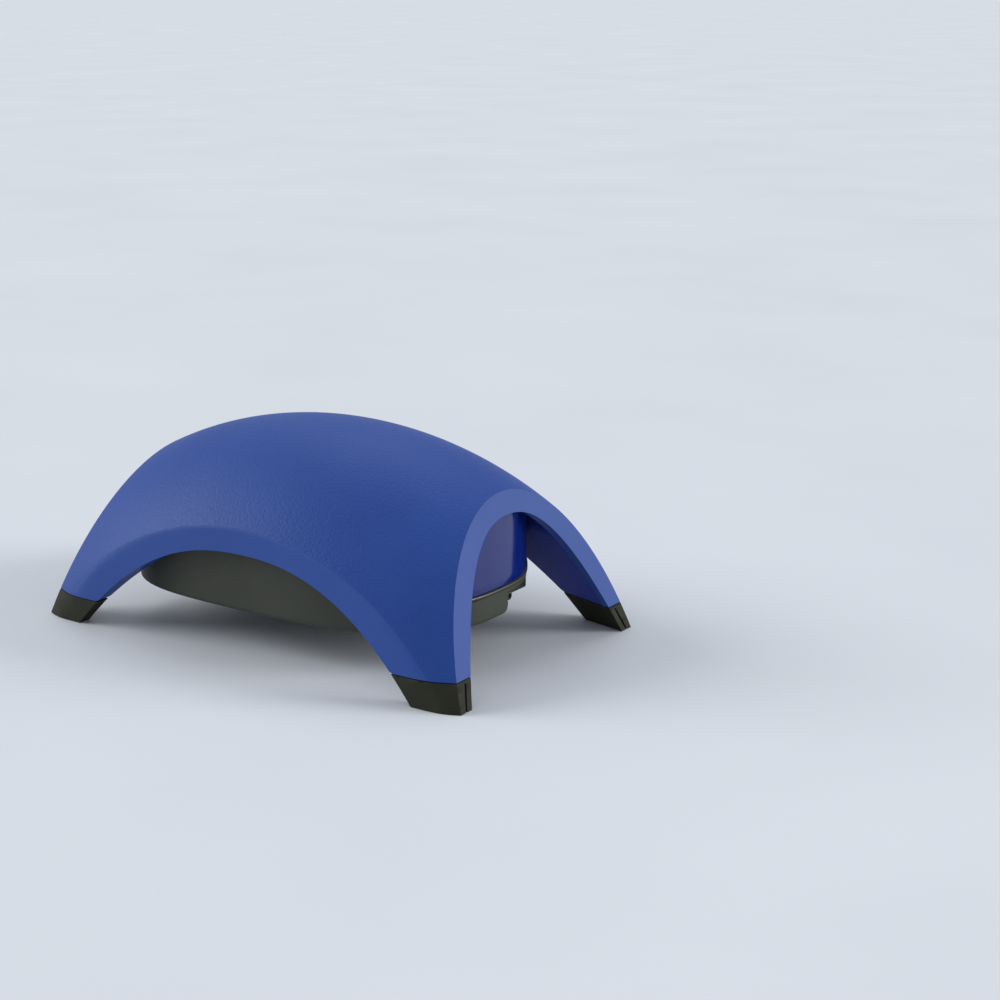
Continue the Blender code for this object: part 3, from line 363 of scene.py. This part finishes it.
def lathe(name, profile, at, axis, paint, sides=64):
    """A turned piece from a closed (radius, height) profile round an axis through a point."""
    bm = bmesh.new()
    rings = []
    for i in range(sides):
        turn = 2 * math.pi * i / sides
        c, s = math.cos(turn), math.sin(turn)
        rings.append([bm.verts.new(Vector((r * c, r * s, h)) * MM) for r, h in profile])
    for ring, after in zip(rings, rings[1:] + rings[:1]):
        for j in range(len(profile)):
            k = (j + 1) % len(profile)
            bm.faces.new((ring[j], after[j], after[k], ring[k]))
    bmesh.ops.remove_doubles(bm, verts=bm.verts, dist=1e-7)
    bmesh.ops.transform(bm, matrix=Matrix.Translation(Vector(at) * MM) @ along(axis), verts=bm.verts)
    return new_piece(name, bm, [paint])


def quads(bm, grid, material=0, flip=False):
    """Faces over a grid of vertices, given as rows, leaving out those that have no area."""
    for row, after in zip(grid, grid[1:]):
        for j in range(len(row) - 1):
            ring = [row[j], row[j + 1], after[j + 1], after[j]]
            unique = []
            for vertex in ring:
                if vertex not in unique:
                    unique.append(vertex)
            if len(unique) > 2:
                if flip:
                    unique.reverse()
                bm.faces.new(unique).material_index = material


# ---------- the dome's form ----------

def end_reach(z):
    return END_REACH - END_LEAN * z


def arch_reach(z, size):
    """How far an arch's edge is from its middle at a height."""
    half, height, power = size
    return half * (1 - z / height) ** (1 / power)


def arch_height(across, size):
    half, height, power = size
    return height * (1 - min(1.0, abs(across) / half) ** power)


def leg_face(x, z):
    """How far across the pump a leg's oblique inner face is."""
    corner = arch_reach(FOOT_HEIGHT, SIDE_ARCH)
    across = SIDE_REACH - SIDE_PLATE - SIDE_LEAN * FOOT_HEIGHT - LEG_THICKER
    return across - LEG_TURN * (x - corner) - LEG_LEAN * (z - FOOT_HEIGHT)


def drum_side(x, clearance=1.3):
    """How far across the pump the drum reaches at a place along it, with a clearance."""
    half_x, half_y = (half + clearance for half in DRUM_HALF)
    power = DRUM_SQUARENESS[x > 0]
    return half_y * max(0.0, 1 - abs(x / half_x) ** power) ** (1 / power)


def blended(a, b, sharpness):
    """The smaller of two lengths, rounded where they meet."""
    low, high = min(a, b), max(a, b)
    return low * (1 + (low / high) ** sharpness) ** (-1 / sharpness)


def soft(x):
    """How crisp the crease along a side facet is: clear in the middle, faded at the legs."""
    fade = min(1.0, max(0.0, (abs(x) - 25.0) / 50.0))
    return 420.0 * (1 - fade) + 55.0 * fade


class Section:
    """One leaning slice across the cover: at share s, x = s * (end_reach(z) - inset)."""

    def __init__(self, share, inset, taper, wall, plate, crisp):
        self.share = share
        self.foot, self.lean = END_REACH - inset, END_LEAN + taper
        self.radii = [radius - wall for radius in DOME_RADII]
        self.plate = plate
        self.crisp = crisp

    def x_at(self, z):
        return self.share * (self.foot - self.lean * z)

    def reach(self, turn):
        """The distance from the slice's foot on the table, at an angle from upright."""
        c, s = math.cos(turn), math.sin(turn)
        a, b, height = self.radii
        x0, lean = self.share * self.foot, -self.share * self.lean
        qa = (lean * c / a) ** 2 + (s / b) ** 2 + (c / height) ** 2
        qb = 2 * (x0 * lean * c / a**2 - DOME_CENTRE * c / height**2)
        qc = (x0 / a) ** 2 + (DOME_CENTRE / height) ** 2 - 1
        dome = (-qb + math.sqrt(max(0.0, qb * qb - 4 * qa * qc))) / (2 * qa)
        facet = (SIDE_REACH - self.plate) / max(1e-6, abs(s) + SIDE_LEAN * c)
        if self.plate:
            along, turned = abs(self.share) * self.foot, LEG_LEAN - LEG_TURN * abs(self.share) * self.lean
            oblique = leg_face(along, 0.0) / max(1e-6, abs(s) + turned * c)
            beside_drum = drum_side(self.x_at(oblique * c)) / max(1e-6, abs(s))
            if oblique * c < LEG_TOP:
                facet = blended(facet, max(oblique, beside_drum), 160.0)
        return dome, facet

    def point(self, turn):
        dome, facet = self.reach(turn)
        crisp = self.crisp or soft(self.x_at(dome * math.cos(turn)))
        radius = blended(dome, facet, crisp)
        z = radius * math.cos(turn)
        return Vector((self.x_at(z), radius * math.sin(turn), z))

    def lowest(self, floor):
        """The angle at which the slice meets the side arch or the floor of the leg."""
        low, high = 0.2, math.pi / 2
        for _ in range(40):
            turn = (low + high) / 2
            at = self.point(turn)
            if at.z > max(floor, arch_height(at.x, SIDE_ARCH)):
                low = turn
            else:
                high = turn
        return low

    def crease(self, lowest):
        """The angle at which the dome meets the side facet."""
        low, high = 0.2, lowest
        for _ in range(40):
            turn = (low + high) / 2
            dome, facet = self.reach(turn)
            if dome < facet:
                low = turn
            else:
                high = turn
        return low

    def row(self, floor, facet_steps, dome_steps):
        """Points from the front edge over the top to the back edge."""
        lowest = self.lowest(floor)
        crease = self.crease(lowest)
        turns = []
        for i in range(facet_steps):
            share = i / facet_steps
            turns.append(lowest + (crease - lowest) * share**0.8)
        for i in range(dome_steps + 1):
            share = i / dome_steps
            turns.append(crease * (1 - share**1.25))
        back = [self.point(turn) for turn in turns]
        front = [Vector((p.x, -p.y, p.z)) for p in back[:-1]]
        return front + back[::-1]


def shares(steps):
    """Shares from one end to the other, closer together next to the ends."""
    quarter = math.pi / 2
    made = []
    for i in range(steps + 1):
        made.append(math.sin(quarter * (2 * i / steps - 1) * 0.8) / math.sin(quarter * 0.8))
    return made


def end_edge(row, x_of, floor):
    """The end arch's edge, one point for each point of the row beyond it."""
    count = len(row) - 1
    reach = arch_reach(floor, END_ARCH)
    made = []
    for i in range(count + 1):
        turn = math.pi * i / count
        y = -reach * math.cos(turn)
        z = max(floor, arch_height(y, END_ARCH))
        made.append(Vector((x_of(z), y, z)))
    return made


def make_dome(paints):
    floor = FOOT_HEIGHT + GAP
    steps, facet_steps, dome_steps = 110, 9, 46
    bm = bmesh.new()

    def verts(points):
        return [bm.verts.new(p * MM) for p in points]

    outer = [Section(s, 0.0, 0.0, 0.0, 0.0, None) for s in shares(steps)]
    inner = [Section(s, END_FLANGE, END_TAPER, DOME_WALL, SIDE_PLATE, 400.0) for s in shares(steps)]
    outer = [verts(section.row(floor, facet_steps, dome_steps)) for section in outer]
    inner = [verts(section.row(floor, facet_steps, dome_steps)) for section in inner]
    last = len(outer[0]) - 1
    middle = facet_steps
    quads(bm, [row[middle:last + 1 - middle] for row in outer], 0)
    quads(bm, [row[:middle + 1] for row in outer], 1)
    quads(bm, [row[last - middle:] for row in outer], 1)
    quads(bm, inner, 2, flip=True)
    for side in (0, last):
        quads(bm, [[row[side] for row in outer], [row[side] for row in inner]], 1, flip=side == 0)

    def flange_x(sign):
        return lambda z: sign * max(end_reach(z) - END_FLANGE - END_TAPER * z, DRUM_HALF[0] + GAP)

    for end, sign in ((0, -1), (-1, 1)):
        rim = [v.co / MM for v in outer[end]]
        edge = end_edge(rim, lambda z: sign * end_reach(z), floor)
        bands = [outer[end]]
        for share in (0.2, 0.5, 0.8):
            bands.append(verts([a.lerp(b, share) for a, b in zip(rim, edge)]))
        bands.append(verts(edge))
        quads(bm, bands, 1, flip=sign < 0)
        back = verts(end_edge(rim, flange_x(sign), floor))
        quads(bm, [bands[-1], back], 1, flip=sign < 0)
        quads(bm, [back, inner[end]], 2, flip=sign < 0)
        for side in (0, last):
            ring = [band[side] for band in bands] + [back[side], inner[end][side]]
            bm.faces.new(ring if (side == 0) == (sign > 0) else ring[::-1]).material_index = 1
    bmesh.ops.remove_doubles(bm, verts=bm.verts, dist=1e-6)
    dome = new_piece("dome_cover", bm, [paints["dome_grain"], paints["dome_smooth"], paints["dome_inside"]])
    round_edges(dome, 0.45)
    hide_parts("dome_shell")
    return dome


# ---------- drum, seal and pan ----------

def drum_outline(offset, steps=288):
    half_x, half_y = (half + offset for half in DRUM_HALF)
    points = []
    for i in range(steps):
        turn = 2 * math.pi * i / steps
        c, s = math.cos(turn), math.sin(turn)
        power = DRUM_SQUARENESS[c > 0]
        radius = (abs(c / half_x) ** power + abs(s / half_y) ** power) ** (-1 / power)
        points.append((radius * c, radius * s))
    return points


def seam_height(x):
    return SEAM_END + SEAM_RISE * max(0.0, 1 - abs(x / SEAM_REACH) ** SEAM_POWER)


def roof_height(x, y, inset):
    a, b, c = (radius - inset for radius in DOME_RADII)
    return DOME_CENTRE + c * math.sqrt(max(0.0, 1 - (x / a) ** 2 - (y / b) ** 2))


def closed_rings(bm, rings):
    """Faces between rings of the same length, each a loop of vertices."""
    for ring, after in zip(rings, rings[1:]):
        for j in range(len(ring)):
            k = (j + 1) % len(ring)
            bm.faces.new((ring[j], ring[k], after[k], after[j]))


def ring_of(bm, offset, height):
    return [bm.verts.new(Vector((x, y, height(x, y))) * MM) for x, y in drum_outline(offset)]


def roofed(bm, ring, offset, height, steps=14):
    """Closes a ring upwards with a roof of shrinking rings."""
    rings = [ring]
    for i in range(1, steps):
        share = 1 - i / steps
        points = [(x * share, y * share) for x, y in drum_outline(offset)]
        rings.append([bm.verts.new(Vector((x, y, height(x, y))) * MM) for x, y in points])
    closed_rings(bm, rings)
    bm.faces.new(rings[-1])


def make_drum(paints):
    bm = bmesh.new()
    inset, inner_inset = DOME_WALL + GAP, DOME_WALL + GAP + DRUM_WALL
    lift = SEAL_HEIGHT / 2 + GAP

    def between(share, top):
        return lambda x, y: (seam_height(x) + lift) * (1 - share) + roof_height(x, y, top) * share

    def edge(rise):
        return lambda x, y: seam_height(x) + lift + rise

    walls = [ring_of(bm, -0.4, edge(0.0)), ring_of(bm, -0.12, edge(0.12)), ring_of(bm, 0.0, edge(0.4))]
    walls += [ring_of(bm, 0.0, between(share, inset)) for share in (0.1, 0.3, 0.5, 0.7, 0.9, 1.0)]
    closed_rings(bm, walls)
    roofed(bm, walls[-1], 0.0, lambda x, y: roof_height(x, y, inset))
    lining = [ring_of(bm, -DRUM_WALL, edge(0.0))]
    lining += [ring_of(bm, -DRUM_WALL, between(share, inner_inset)) for share in (0.5, 1.0)]
    closed_rings(bm, lining)
    roofed(bm, lining[-1], -DRUM_WALL, lambda x, y: roof_height(x, y, inner_inset))
    closed_rings(bm, [walls[0], lining[0]])
    drum = new_piece("drum_housing", bm, [paints["drum_gloss"]])
    shade(drum, 40.0)
    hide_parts("motor_housing")


def make_seal(paints):
    """The lip between drum and pan, a bead that stands a little proud of both."""
    bm = bmesh.new()
    half = SEAL_HEIGHT / 2
    section = [(-DRUM_WALL, half), (-0.1, half)]
    section += [(SEAL_PROUD * math.cos(a), half * math.sin(a)) for a in (1.1, 0.55, 0.0, -0.55, -1.1)]
    section += [(-0.1, -half), (-DRUM_WALL, -half)]
    rings = []
    for offset, rise in section:
        rings.append(ring_of(bm, offset, lambda x, y, rise=rise: seam_height(x) + rise))
    closed_rings(bm, rings + rings[:1])
    seal = new_piece("seal_lip", bm, [paints["seal_lip"]])
    shade(seal, 50.0)
    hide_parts("base_seal")


def corners(at):
    return [(sx * at[0], sy * at[1]) for sx in (1, -1) for sy in (-1, 1)]


def notch_profile(grow):
    """The outlet pocket across the pan, with its lower corner rounded, grown by a wall."""
    left, top = NOTCH_Y - grow, NOTCH_TOP + grow
    start, middle = PAN_BOTTOM + grow / 2, PAN_BOTTOM + NOTCH_ROUND
    points = [(60.0, -1.0), (left - NOTCH_ROUND, -1.0), (left - NOTCH_ROUND, start)]
    for turn in (0.2, 0.4, 0.6, 0.8, 1.0, 1.2, 1.35, 1.5):
        points.append((left - NOTCH_ROUND * (1 - math.sin(turn)), middle - (middle - start) * math.cos(turn)))
    return points + [(left, top), (60.0, top)]


def keel_profile(grow):
    """The slope under the pan beside the outlet."""
    low, high = PAN_BOTTOM + grow, KEEL_TOP + grow
    return [(90.0, -1.0), (KEEL_X, -1.0), (KEEL_X, low), (NOTCH_X, high), (90.0, high)]


def make_tray(paints):
    """The pan before its outlet pocket and recesses: rounded below, cut to the seam above."""
    bm = bmesh.new()
    drop = SEAL_HEIGHT / 2 + GAP

    def rim(fall):
        return lambda x, y: seam_height(x) - drop - fall

    def level(z):
        return lambda x, y: z

    def side(share):
        return lambda x, y: (PAN_BOTTOM + PAN_EDGE) * (1 - share) + rim(0.3)(x, y) * share

    outside = []
    for turn in (0.0, 0.3, 0.6, 0.9, 1.2, 1.57):
        inset, rise = PAN_EDGE * (math.sin(turn) - 1), PAN_EDGE * (1 - math.cos(turn))
        outside.append(ring_of(bm, inset, level(PAN_BOTTOM + rise)))
    outside += [ring_of(bm, 0.0, side(0.5)), ring_of(bm, 0.0, side(1.0)), ring_of(bm, -0.3, rim(0.0))]
    inside = [ring_of(bm, -DRUM_WALL, rim(0.0)), ring_of(bm, -DRUM_WALL, level(PAN_BOTTOM + PAN_FLOOR))]
    closed_rings(bm, outside + inside)
    bm.faces.new(outside[0])
    bm.faces.new(inside[-1])
    return new_piece("pan_tray", bm, [paints["pan_matte"]])


def pan_recesses():
    """The tools for the outlet's pocket and the slope beside it, the filter, gland and screws."""
    y, z = OUTLET
    top = PAN_BOTTOM + UNDER_POCKET
    chamfer = [(NOTCH_X - UNDER_POCKET, 0.0), (NOTCH_X - UNDER_POCKET, PAN_BOTTOM), (NOTCH_X, top)]
    chamfer += [(90.0, top), (90.0, 0.0)]
    tools = [
        slab(notch_profile(0.0), NOTCH_X, 90, "X"),
        slab(keel_profile(0.0), KEEL_Y, 60, "Y"),
        slab(chamfer, NOTCH_Y, 60, "Y"),
        peg(BARB_RIDGE + GAP, (NOTCH_X - DRUM_WALL - 2, y, z), 30, "X"),
        peg(GLAND_NECK + GAP, (-90, GLAND[0], GLAND[1]), 35, "X"),
        peg(FILTER_RADIUS, (*FILTER_AT, 0), PAN_BOTTOM + FILTER_DEPTH),
        peg(INTAKE_RADIUS, (*FILTER_AT, 0), 40),
    ]
    for place in corners(PAN_SCREW_AT):
        tools.append(peg(HEAD + GAP, (*place, 0), PAN_BOTTOM + HEAD_HEIGHT + GAP))
    return tools


def make_pan(paints):
    pan = make_tray(paints)
    floor = PAN_BOTTOM + PAN_FLOOR
    raised = slab(notch_profile(DRUM_WALL), NOTCH_X - DRUM_WALL, NOTCH_X + 8, "X")
    keel = slab(keel_profile(PAN_FLOOR), KEEL_Y - KEEL_WALL, 60, "Y")
    cup = peg(FILTER_RADIUS + DRUM_WALL, (*FILTER_AT, floor - 1), FILTER_DEPTH + 1.0)
    cut(raised, [keel], "UNION")
    within = slab(drum_outline(-DRUM_WALL / 2), floor - 1, NOTCH_TOP + DRUM_WALL)
    cut(raised, [within], "INTERSECT")
    cut(pan, [raised, cup], "UNION")
    cut(pan, pan_recesses())
    round_edges(pan, 0.25, 2)
    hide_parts("base_pan")


# ---------- feet ----------

def foot_face(x, z):
    """The foot's inner face runs from the leg's down to the side arch's corner."""
    on_table = SIDE_REACH - SIDE_PLATE - 0.235 * (x - SIDE_ARCH[0])
    share = z / FOOT_HEIGHT
    return on_table * (1 - share) + leg_face(x, FOOT_HEIGHT) * share


def turn_at(section, z):
    """The angle at which a slice's outer side reaches a height."""
    low, high = 0.5, math.pi / 2
    for _ in range(36):
        turn = (low + high) / 2
        if section.point(turn).z > z:
            low = turn
        else:
            high = turn
    return low


def foot_block(name, sx, sy, paints):
    """The leg's outer form carried on to the table, with the foot's inner face behind it."""
    bm = bmesh.new()
    outer, inner = [], []
    for i in range(25):
        section = Section(0.70 + 0.30 * i / 24, 0.0, 0.0, 0.0, 0.0, 55.0)
        outer.append([section.point(turn_at(section, FOOT_HEIGHT * j / 8)) for j in range(9)])
    for row in outer:
        inner.append([Vector((p.x, foot_face(p.x, p.z), p.z)) for p in row])

    def verts(rows):
        return [[bm.verts.new(Vector((sx * p.x, sy * p.y, p.z)) * MM) for p in row] for row in rows]

    outer, inner = verts(outer), verts(inner)
    quads(bm, outer)
    quads(bm, inner, flip=True)
    for side in (0, -1):
        quads(bm, [[row[side] for row in outer], [row[side] for row in inner]])
    for end in (0, -1):
        quads(bm, [outer[end], inner[end]])
    return new_piece(f"rubber_{name}", bm, [paints["foot_rubber"]])


def foot_slot(sx, sy):
    """The tool for the slot, which follows the end arch's edge and the end facet's lean."""
    sides = []
    top = FOOT_HEIGHT - 0.9
    for z, side in ((-1, -1), (-1, 1), (top, 1), (top, -1)):
        sides.append((sy * (arch_reach(z, END_ARCH) + SLOT_BESIDE + side * SLOT_WIDTH / 2), z))
    slot = slab(sides, *sorted((0, sx * 120)), "X")
    heart = [(sx * (end_reach(z) - SLOT_DEPTH), z) for z in (-5.0, 12.0)] + [(0.0, 12.0), (0.0, -5.0)]
    cut(slot, [slab(heart, -90, 90, "Y")])
    return slot


def make_foot(name, sx, sy, paints):
    """A leg's rubber tip, cut by both arches."""
    foot = foot_block(name, sx, sy, paints)
    side = [(sx * SIDE_ARCH[0], -5.0), (sx * 20.0, -5.0), (sx * 20.0, 30.0)]
    for i in range(13):
        z = 30.0 * (1 - i / 12)
        side.append((sx * arch_reach(z, SIDE_ARCH), z))
    end = [(sy * 20.0, -5.0)]
    end += [(sy * arch_reach(max(z, 0.0), END_ARCH), z) for z in (-5, 0, 3, 6, 9, 12)]
    end += [(sy * 20.0, 12.0)]
    tools = [slab(side, -90, 90, "Y"), slab(end, -120, 120, "X")]
    cut(foot, tools + [foot_slot(sx, sy)])
    round_edges(foot, 0.35)
    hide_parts(name)


def make_feet(paints):
    for end, sx in (("right", 1), ("left", -1)):
        for side, sy in (("front", -1), ("back", 1)):
            make_foot(f"foot_{side}_{end}", sx, sy, paints)


# ---------- outlet ----------

def make_outlet(paints):
    y, z = OUTLET
    flange = NOTCH_X - DRUM_WALL - GAP
    profile = [
        (BARB_BORE, BARB_TIP),
        (BARB_BORE + 0.4, BARB_TIP),
        (BARB_NECK, BARB_TIP - 0.35),
        (BARB_RIDGE, BARB_TIP - 1.3),
        (BARB_RIDGE - 0.05, BARB_TIP - 1.5),
        (BARB_NECK, BARB_TIP - 1.7),
        (BARB_NECK, flange),
        (BARB_RIDGE + BARB_FLANGE, flange),
        (BARB_RIDGE + BARB_FLANGE, flange - BARB_FLANGE),
        (TAIL_RADIUS, flange - BARB_FLANGE),
        (TAIL_RADIUS, BARB_TAIL),
        (BARB_BORE, BARB_TAIL),
    ]
    barb = lathe("barb_nozzle", profile, (0, y, z), "X", paints["seal_lip"])
    shade(barb, 40.0)
    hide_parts("outlet_barb")


# ---------- carried-over nodes ----------

def paint_frame_nodes(paints):
    """Gives each CAD node that stays its own finish."""
    finishes = {
        "dark_plastic": "pan_matte",
        "soft_rubber": "soft_rubber",
        "clear_silicone": "milky_silicone",
        "white_plastic": "white_moulding",
        "felt": "filter_felt",
        "steel": "plated_steel",
        "laminations": "laminated_iron",
        "copper": "wound_copper",
        "ferrite": "ferrite",
        "grained_blue": "dome_grain",
        "glossy_blue": "drum_gloss",
        "black_rubber": "foot_rubber",
    }
    for part in frame["record"]["subparts"]:
        node = frame["nodes"][part["node"]]
        node.data.materials.clear()
        node.data.materials.append(paints[finishes[part["material_slot"]]])


# ---------- stage ----------

def make_floor():
    bm = bmesh.new()
    bmesh.ops.create_grid(bm, x_segments=1, y_segments=1, size=60.0)
    bmesh.ops.translate(bm, vec=(0, 0, -0.0001), verts=bm.verts)
    paint = Paint("pale_floor", 0.6, Specular_IOR_Level=0.3)
    paint.colour(paint.noise(6.0, 3.0), [(0.3, (0.56, 0.59, 0.63)), (0.7, (0.59, 0.62, 0.66))])
    floor = new_piece("floor", bm, [paint.material], body=None)


def add_sun(name, towards, strength, spread, colour=(1.0, 1.0, 1.0)):
    """A distant soft light: the direction it comes from, its strength and its width in degrees."""
    data = bpy.data.lights.new(name, "SUN")
    data.energy = strength
    data.angle = math.radians(spread)
    data.color = colour
    light = bpy.data.objects.new(name, data)
    bpy.context.scene.collection.objects.link(light)
    light.rotation_euler = Vector(towards).to_track_quat("Z", "Y").to_euler()


def make_lights():
    world = bpy.data.worlds.new("studio")
    world.use_nodes = True
    shade_node = world.node_tree.nodes["Background"]
    shade_node.inputs["Color"].default_value = (0.9, 0.94, 1.0, 1.0)
    shade_node.inputs["Strength"].default_value = 0.55
    bpy.context.scene.world = world
    add_sun("left_sun", (-0.84, -0.42, 0.50), 2.0, 40.0)
    add_sun("right_sun", (0.82, 0.52, 0.34), 2.0, 25.0)
    add_sun("back_sun", (-0.30, 0.40, 0.85), 0.6, 40.0)
    bpy.context.scene.view_settings.view_transform = "Standard"


def make_camera():
    azimuth, elevation = math.radians(CAMERA_AZIMUTH), math.radians(CAMERA_ELEVATION)
    towards = Vector((
        math.sin(azimuth) * math.cos(elevation),
        -math.cos(azimuth) * math.cos(elevation),
        math.sin(elevation),
    ))
    data = bpy.data.cameras.new("camera")
    data.lens = CAMERA_LENS
    data.sensor_width = CAMERA_SENSOR
    data.shift_x, data.shift_y = CAMERA_SHIFT
    camera = bpy.data.objects.new("camera", data)
    bpy.context.scene.collection.objects.link(camera)
    target = Vector(CAMERA_TARGET) * MM
    camera.location = target + towards * CAMERA_DISTANCE * MM
    turn = (-towards).to_track_quat("-Z", "Y").to_matrix().to_4x4()
    roll = Matrix.Rotation(math.radians(CAMERA_ROLL), 4, "Z")
    camera.rotation_euler = (turn @ roll).to_euler()
    bpy.context.scene.camera = camera


def main():
    make_camera()
    make_lights()
    make_floor()
    paints = make_materials()
    paint_frame_nodes(paints)
    make_dome(paints)
    make_drum(paints)
    make_seal(paints)
    make_pan(paints)
    make_feet(paints)
    make_outlet(paints)


main()
